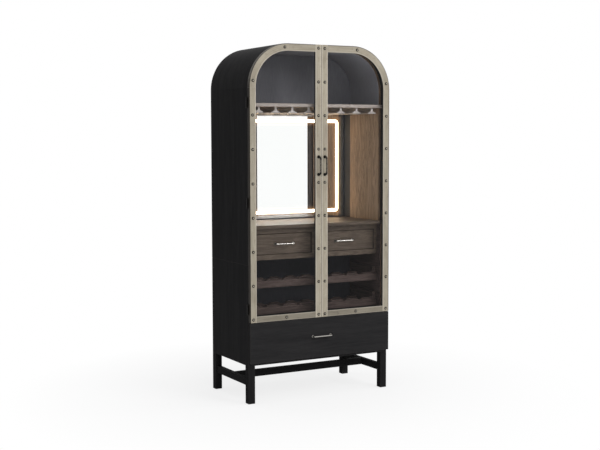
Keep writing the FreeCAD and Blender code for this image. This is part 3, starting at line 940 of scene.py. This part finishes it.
def buildInterior(spec):
    rounding = spec["boardRounding"]
    dressBoard("cheeks", rackOak["Y"], rounding, edge=edgeOak)
    dressBoard("linings", litWallOak, rounding, edge=edgeOak)
    dressBoard("counter", drawerOak, rounding)
    dressBoard("shelf", brownOak["X"], rounding, edge=shelfStrip)
    dressBoard("drawer_deck", rackOak["X"], rounding)
    dressBoard("drawer_divider", brownOak["Z"], rounding)
    dressBoard("rack_rails", rackOak["X"], spec["rackRounding"])
    dressBoard("rack_ends", rackOak["Y"], spec["rackRounding"])
    dressBoard("rack_cradles", rackOak["X"], spec["cradleRounding"])
    dressBoard("rack_back", board["bayBoard"], spec["backRounding"])
    dressBoard("mirror", mirrorFinish, spec["mirrorRounding"])
    refinish("light_band", diffuserFinish)
    dressBoard("base_runners", birch["Y"], spec["smallRounding"])
    for node in ("light_driver", "cable_grommet", "door_catches"):
        dressBoard(node, blackPlastic, spec["smallRounding"])


niche = {"rounding": 0.0008}


def buildNiche(spec):
    # the board behind the mirror and a return at each end
    low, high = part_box("bar_back")
    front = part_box("mirror")[1].y
    inside = solidBoxes("linings")[1][0].x
    rounding = spec["rounding"]
    bm = bmesh.new()
    addBoard(bm, (-inside, front, low.z), (inside, high.y, high.z), rounding)
    for side in sides.values():
        addBoard(bm, (side * inside, low.y, low.z), (side * high.x, high.y, high.z), rounding)
    # front faces take the lighter charcoal board, painted light on the strip beside the mirror that lies
    # in shade
    markFront(bm, 1)
    finishPiece(bm, "bar_back", [board["nicheBoard"], board["charcoalBoard"]])


topLining = {"gap": 0.0003, "rounding": 0.0010, "plateRounding": 0.0006}


def buildTopLining(spec):
    # bent board round the upper compartment, and its back
    low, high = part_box("top_back")
    wallLow, wallHigh = solidBoxes("linings")[1]
    y = (low.y, wallHigh.y)
    inner = wallLow.x - archCentre[0]
    outer = high.x - spec["gap"] - archCentre[0]
    rounding = spec["rounding"]
    bm = bmesh.new()
    for side in sides.values():
        foot = (side * (archCentre[0] + inner), y[0], low.z)
        spring = (side * (archCentre[0] + outer), y[1], archCentre[1])
        addBoard(bm, foot, spring, rounding, atArch)
        addArch(bm, side, archCentre, inner, outer, y, rounding, atArch)
    left = (-archCentre[0], y[0], archCentre[1] + inner)
    right = (archCentre[0], y[1], archCentre[1] + outer)
    addBoard(bm, left, right, rounding, atArch)
    # the bent board in the brighter copy of the charcoal, painted light
    finishes = [board["charcoalBoard"], edgeOak, board["brightenedLining"]]
    for face in bm.faces:
        face.material_index = finishes.index(board["brightenedLining"])
    markFront(bm, finishes.index(edgeOak))
    radius = shellRadius - (shoulderHigh.x - high.x)
    addArchedPlate(bm, high.x, low.z, high.z, radius, (y[1], high.y), spec["plateRounding"])
    finishPiece(bm, "top_back", finishes)


hangingRails = {
    "count": 8,
    "webWidth": 0.014,
    "webHeight": 0.020,
    "flangeWidth": 0.062,
    "flangeEdge": 0.0045,
    "rounding": 0.001,
}


def buildHangingRails(spec):
    low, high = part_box("stem_rails")
    pitch = (high.x - low.x - spec["flangeWidth"]) / (spec["count"] - 1)
    web, flange = spec["webWidth"] / 2, spec["flangeWidth"] / 2
    webLow = high.z - spec["webHeight"]
    edgeHigh = low.z + spec["flangeEdge"]
    outline = [
        (-flange, low.z), (flange, low.z), (flange, edgeHigh), (web, webLow),
        (web, high.z), (-web, high.z), (-web, webLow), (-flange, edgeHigh),
    ]
    sweep = (0, high.y - low.y, 0)
    bm = bmesh.new()
    for number in range(spec["count"]):
        x = low.x + flange + pitch * number
        corners = [(x + dx, low.y, z) for dx, z in outline]
        addSection(bm, corners, sweep, spec["rounding"], lambda co: abs(co.z - high.z) < nearly)
    finishPiece(bm, "stem_rails", [railSteel], name="hanging_rails_piece")


buildInterior(interior)
buildNiche(niche)
buildTopLining(topLining)
buildHangingRails(hangingRails)
print("interior built")


# doors

door = {
    "archRadius": 0.274,
    "archSteps": 56,
    "facing": 0.045,
    "meeting": 0.042,
    "bottomRail": 0.038,
    "lip": 0.008,
    "chamfer": (0.0046, 0.0014),  # across and deep, on both long edges of a strap
    "strapRounding": 0.0003,
    "strapSmooth": 9,  # degrees
    "coreRounding": 0.0015,
    "stopRounding": 0.003,
    "rimPale": 4.0,  # how soon the rim turns pale as it bends upwards, painted light from above
}


def rimLitFromAbove(face, spec):
    return min(1.0, max(0.0, face.normal.z) * spec["rimPale"])


def addStraps(bm, side, meet, outer, low, high, radius, widths, y, spec):
    # stile, arch, top rail, meeting stile and bottom rail, with chamfered edges
    band, meetBand, bottomBand = widths
    x, z = outer - radius, high - radius
    rounding = spec["strapRounding"]
    wide, deep = spec["chamfer"]

    def outline(start, end):
        return [
            (start, y[1]), (start, y[0] + deep), (start + wide, y[0]),
            (end - wide, y[0]), (end, y[0] + deep), (end, y[1]),
        ]

    def upright(start, end, top, index):
        corners = [(side * a, d, low) for a, d in outline(start, end)]
        addSection(bm, corners, (0, 0, top - low), rounding, None, index)

    def level(start, end, foot, width, index):
        corners = [(side * start, d, a) for a, d in outline(foot, foot + width)]
        addSection(bm, corners, (side * (end - start), 0, 0), rounding, None, index)

    upright(outer - band, outer, z, 0)
    corners = [(side * a, d, z) for a, d in outline(outer - band, outer)]
    addTurned(bm, corners, (x, z), rounding, None, 1, spec["archSteps"])
    level(meet + meetBand, x, high - band, band, 2)
    upright(meet, meet + meetBand, high, 3)
    level(meet + meetBand, outer - band, low, bottomBand, 4)
    wearSheen = wearAndSheenLayer(bm)
    bm.normal_update()
    outerMembers = (0, 1, 2)
    # outer sides take the dark rim finish, tarnish and painted shade, paler facing up as painted light
    # from above; chamfers get rubbing and a painted highlight
    for face in bm.faces:
        if face.normal.y < -flatOn:
            continue
        away = face.calc_center_median() - Vector((side * x, 0, z))
        outwards = away.x * face.normal.x + away.z * face.normal.z > 0
        if outwards and face.material_index in outerMembers:
            face.material_index = len(strapFinishes)  # the rim's finish comes after them
            face[wearSheen] = rimLitFromAbove(face, spec)
        elif face.normal.y < -leaning:
            face[wearSheen] = 1.0


def addRing(bm, side, meet, outer, low, high, radius, widths, y, rounding):
    # the same five members, plain and butted together
    band, meetBand, bottomBand = widths
    x, z = outer - radius, high - radius
    inner = meet + meetBand

    def bar(start, end, foot, top):
        addBoard(bm, (side * start, y[0], foot), (side * end, y[1], top), rounding)

    bar(outer - band, outer, low, z)
    addArch(bm, side, (x, z), radius - band, radius, y, rounding)
    bar(inner, x, high - band, high)
    bar(meet, inner, low, high)
    bar(inner, outer - band, low, low + bottomBand)


def buildDoor(word, side, spec):
    node = "door_facing_" + word
    low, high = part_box(node)
    meet, outer = sorted((abs(low.x), abs(high.x)))
    place = (side, meet, outer, low.z, high.z, spec["archRadius"])
    widths = (spec["facing"], spec["meeting"], spec["bottomRail"])
    bm = bmesh.new()
    addStraps(bm, *place, widths, (low.y, high.y), spec)
    finishPiece(bm, node, [*strapFinishes, patinaAndShade["rimPatinaShade"]], spec["strapSmooth"])

    node = "door_core_" + word
    coreLow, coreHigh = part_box(node)
    coreWidths = [width - spec["lip"] for width in widths]
    bm = bmesh.new()
    addRing(bm, *place, coreWidths, (coreLow.y, coreHigh.y), spec["coreRounding"])
    bm.normal_update()
    wearSheen = wearAndSheenLayer(bm)
    middle = Vector((side * (meet + outer) / 2, coreLow.y, (low.z + high.z) / 2))
    for face in bm.faces:  # painted behind and round the glass; the rim dark with tarnish and painted shade, paler facing up as painted light from above
        inward = (middle - face.calc_center_median()).dot(face.normal) > 0
        face.material_index = int(face.normal.y > leaning or inward)
        face[wearSheen] = rimLitFromAbove(face, spec)
    finishPiece(bm, node, [patinaAndShade["rimPatinaShade"], board["doorBack"]])

    node = "glass_stops_" + word
    stopLow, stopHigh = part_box(node)
    meet, outer = sorted((abs(stopLow.x), abs(stopHigh.x)))
    radius = spec["archRadius"] - coreWidths[0]
    lips = (spec["lip"],) * 3
    y = (stopLow.y, stopHigh.y)
    bm = bmesh.new()
    addRing(bm, side, meet, outer, stopLow.z, stopHigh.z, radius, lips, y, spec["stopRounding"])
    bm.normal_update()
    for face in bm.faces:
        face.material_index = int(face.normal.y > leaning)
    finishPiece(bm, node, [lacquer["Z"], board["doorBack"]])

    refinish("door_glass_" + word, glassFinish)


hinge = {
    "leaf": 0.0012,
    "rounding": 0.0004,
    "pinRounding": 0.0006,
    "screwInset": 0.0105,
    "screwRadius": 0.0030,
    "screwRise": 0.00015,
    "spread": (0.17, 0.5, 0.83),  # of a leaf's height
}


def addLeafScrews(bm, node, y, forward, spec):
    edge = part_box("side_upper_right")[1].x
    for low, high in solidBoxes(node):
        x = math.copysign(edge - spec["screwInset"], low.x)
        for share in spec["spread"]:
            place = (x, y, low.z + (high.z - low.z) * share)
            addScrew(bm, place, forward, spec["screwRadius"], spec["screwRise"])


def buildHinges(spec):
    iron, zinc = metal["blackIron"], metal["zincSteel"]
    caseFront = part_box("side_upper_right")[0].y
    dressBoard("hinge_case_leaves", iron, spec["rounding"], fineSegments)
    dressBoard("hinge_pins", iron, spec["pinRounding"], fineSegments)
    bm = bmesh.new()
    addLeafScrews(bm, "hinge_case_leaves", caseFront - spec["leaf"], True, spec)
    addPiece(bm, "hinge_case_screws", [zinc], "case")
    for word in sides:
        node = "hinge_door_leaves_" + word
        dressBoard(node, iron, spec["rounding"], fineSegments)
        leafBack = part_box("door_core_" + word)[1].y + spec["leaf"]
        bm = bmesh.new()
        addLeafScrews(bm, node, leafBack, False, spec)
        addPiece(bm, "hinge_door_screws_" + word, [zinc], "door_" + word)


strike = {"sunk": 0.001, "proud": 0.00015, "rounding": 0.0001}


def buildStrikes(spec):
    # steel plates on the doors where the magnets meet them
    for word, (low, high) in zip(sides, solidBoxes("door_catches")):
        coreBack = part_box("door_core_" + word)[1].y
        front, back = coreBack - spec["sunk"], coreBack + spec["proud"]
        bm = bmesh.new()
        addBoard(bm, (low.x, front, low.z), (high.x, back, high.z), spec["rounding"])
        addPiece(bm, "strike_plate_" + word, [metal["zincSteel"]], "door_" + word)


rivet = {
    "ring": 0.0098,
    "ringRise": 0.0006,
    "radius": 0.0076,
    "rise": 0.0042,
    "rings": 6,
    "turns": 24,
    "sheenFocus": 6.0,  # how steeply the painted highlight fades from the crown to the rim
    "smooth": 50,  # degrees
}


def buildRivets(word, spec):
    # a domed head, dark with a painted highlight at the crown, on a ring of tarnish and painted shadow
    node = "door_rivets_" + word
    ring, ringRise, radius, rise = [spec[key] for key in ("ring", "ringRise", "radius", "rise")]
    ball = (radius ** 2 + rise ** 2) / (2 * rise)
    sweep = math.asin(radius / ball)
    heads = [(ring, 0.0), (ring, ringRise), (radius, ringRise)]
    for number in range(spec["rings"] + 1):
        angle = sweep * (1 - number / spec["rings"])
        heads.append((ball * math.sin(angle), rise - ball + ball * math.cos(angle)))
    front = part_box("door_facing_" + word)[0].y
    bm = bmesh.new()
    for low, high in solidBoxes(node):
        middle = (low + high) / 2
        profile = [bm.verts.new((middle.x + r, front - out, middle.z)) for r, out in heads]
        edges = [bm.edges.new(pair) for pair in zip(profile, profile[1:])]
        bmesh.ops.spin(
            bm, geom=profile + edges, cent=(middle.x, front, middle.z), axis=(0, 1, 0),
            angle=2 * math.pi, steps=spec["turns"], use_merge=True,
        )
    bmesh.ops.remove_doubles(bm, verts=bm.verts, dist=merging)
    bmesh.ops.recalc_face_normals(bm, faces=bm.faces)
    wearSheen = wearAndSheenLayer(bm)
    for face in bm.faces:
        out = front - face.calc_center_median().y
        face.material_index = int(out <= ringRise + nearly)
        face[wearSheen] = (out / rise) ** spec["sheenFocus"]
    finishPiece(bm, node, [metal["rivetPewter"], patinaAndShade["rivetPatinaShadow"]], spec["smooth"])


# the last entry is how steeply the painted highlight fades from the front to the sides, which read as
# painted shade
doorHandle = {"span": 0.122, "reach": 0.030, "rod": 0.0055, "bend": 0.014, "foot": 0.0103, "sheenFocus": 8.0}
drawerPull = {"span": 0.138, "reach": 0.025, "rod": 0.0050, "bend": 0.009, "foot": 0.0092, "sheenFocus": 3.0}
pullShape = {
    "turns": 24,
    "bendSteps": 8,
    "footRings": ((0.0016, 1.0), (0.0008, 0.93), (0.0014, 0.80), (0.0022, 0.86)),  # rise, growth
    "barRings": ((0.12, 0.92), (0.38, 0.96), (0.5, 1.0)),  # share of half the bar, growth
    "smooth": 50,  # degrees
}


def extrudeRing(bm, ring, move, grow, centre):
    made = bmesh.ops.extrude_edge_only(bm, edges=ring)
    verts = pick(made["geom"], BMVert)
    bmesh.ops.translate(bm, verts=verts, vec=move)
    middle = centre + move
    bmesh.ops.scale(bm, verts=verts, vec=(grow, grow, grow), space=Matrix.Translation(-middle))
    return pick(made["geom"], BMEdge), middle


def buildPull(node, finishes, spec, upright, shape=pullShape):
    # one flared foot, a bend and half the bar, then mirrored
    half = spec["span"] / 2 - spec["rod"]
    out = spec["reach"] - spec["rod"]
    bend = spec["bend"]
    bm = bmesh.new()
    centre = Vector((-half, 0, 0))
    made = bmesh.ops.create_circle(
        bm, cap_ends=False, segments=shape["turns"], radius=spec["foot"],
        matrix=Matrix.Translation(centre) @ Matrix.Rotation(math.pi / 2, 4, "X"),
    )
    ring = list({edge for v in made["verts"] for edge in v.link_edges})
    radius = spec["foot"]
    neck = out - bend
    for rise, grow in shape["footRings"]:
        ring, centre = extrudeRing(bm, ring, Vector((0, -rise, 0)), grow, centre)
        radius *= grow
        neck -= rise
    ring, centre = extrudeRing(bm, ring, Vector((0, -neck, 0)), spec["rod"] / radius, centre)
    verts = list({v for edge in ring for v in edge.verts})
    made = bmesh.ops.spin(
        bm, geom=verts + ring, cent=centre + Vector((bend, 0, 0)), axis=(0, 0, 1),
        angle=math.pi / 2, steps=shape["bendSteps"],
    )
    ring = pick(made["geom_last"], BMEdge)
    centre = Vector((-half + bend, -out, 0))
    for share, grow in shape["barRings"]:
        ring, centre = extrudeRing(bm, ring, Vector(((half - bend) * share, 0, 0)), grow, centre)
    bmesh.ops.mirror(bm, geom=bm.verts[:] + bm.edges[:] + bm.faces[:], axis="X", merge_dist=merging)
    bmesh.ops.remove_doubles(bm, verts=bm.verts, dist=merging)
    bmesh.ops.holes_fill(bm, edges=[e for e in bm.edges if e.is_boundary], sides=0)
    bmesh.ops.recalc_face_normals(bm, faces=bm.faces)
    wearSheen = wearAndSheenLayer(bm)
    bm.normal_update()
    for face in bm.faces:  # the bar, with a painted highlight in front and painted shade on its sides, then the bends and feet
        face.material_index = int(abs(face.calc_center_median().x) > half - bend)
        face[wearSheen] = max(0.0, -face.normal.y) ** spec["sheenFocus"]
    low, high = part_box(node)
    seat = (low + high) / 2
    seat.y = high.y
    turn = Matrix.Rotation(math.pi / 2, 4, "Y") if upright else Matrix.Identity(4)
    bmesh.ops.transform(bm, verts=bm.verts, matrix=Matrix.Translation(seat) @ turn)
    finishPiece(bm, node, finishes, shape["smooth"])


handleFinishes = [metal["handlePewter"], metal["blackIron"]]
for word, side in sides.items():
    buildDoor(word, side, door)
    buildRivets(word, rivet)
    buildPull("door_handle_" + word, handleFinishes, doorHandle, True)
buildHinges(hinge)
buildStrikes(strike)
print("doors built")


# drawers

drawer = {
    "frontRounding": 0.0018,
    "frontSmooth": 25,  # degrees
    "stile": 0.020,
    "rail": 0.031,
    "sink": 0.006,
    "step": 0.0045,
    "bead": 0.003,
    "baseWall": 0.015,
    "innerWall": 0.012,
    "floorLift": 0.010,
    "floorThickness": 0.006,
    "boxRounding": 0.0008,
}


def buildFramedFront(node, spec):
    low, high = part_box(node)
    bm = bmesh.new()
    addBoard(bm, low, high, spec["frontRounding"])
    face = min(bm.faces, key=lambda item: item.calc_center_median().y - item.calc_area())
    frameWidth = spec["stile"] - spec["frontRounding"]
    bmesh.ops.inset_region(bm, faces=[face], thickness=frameWidth, use_even_offset=True)
    middle = (low.z + high.z) / 2
    for vert in face.verts:
        vert.co.z += math.copysign(spec["rail"] - spec["stile"], middle - vert.co.z)
    bead = spec["bead"]
    for depth in (spec["step"], spec["sink"] - spec["step"]):
        made = bmesh.ops.inset_region(bm, faces=[face], thickness=bead, depth=0, use_even_offset=True)
        bmesh.ops.translate(bm, verts=list(face.verts), vec=(0, depth, 0))
        for ring in made["faces"]:
            ring.material_index = 1  # painted shade in the moulding's recesses, with glaze left in them
    finishPiece(bm, node, [drawerOak, grooveShadeOak], spec["frontSmooth"])


def buildBox(node, wall, spec):
    # sides run front to back, the back and floor across
    low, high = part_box(node)
    left, right, back = low.x + wall, high.x - wall, high.y - wall
    floorLow = low.z + spec["floorLift"]
    floorHigh = floorLow + spec["floorThickness"]
    rounding = spec["boxRounding"]
    bm = bmesh.new()
    addBoard(bm, low, (left, high.y, high.z), rounding)
    addBoard(bm, (right, low.y, low.z), high, rounding)
    addBoard(bm, (left, back, low.z), (right, high.y, high.z), rounding, index=1)
    addBoard(bm, (left, low.y, floorLow), (right, back, floorHigh), rounding, index=1)
    finishPiece(bm, node, [birch["Y"], birch["X"]])


pullFinishes = [metal["antiqueNickel"], metal["nickelFoot"]]
plainBoard("base_drawer_front", lacquer["X"], drawer["frontRounding"])
buildBox("base_drawer_box", drawer["baseWall"], drawer)
buildPull("base_drawer_pull", pullFinishes, drawerPull, False)
for word in sides:
    buildFramedFront("inner_drawer_front_" + word, drawer)
    buildBox("inner_drawer_box_" + word, drawer["innerWall"], drawer)
    buildPull("inner_drawer_pull_" + word, pullFinishes, drawerPull, False)
print("drawers built")
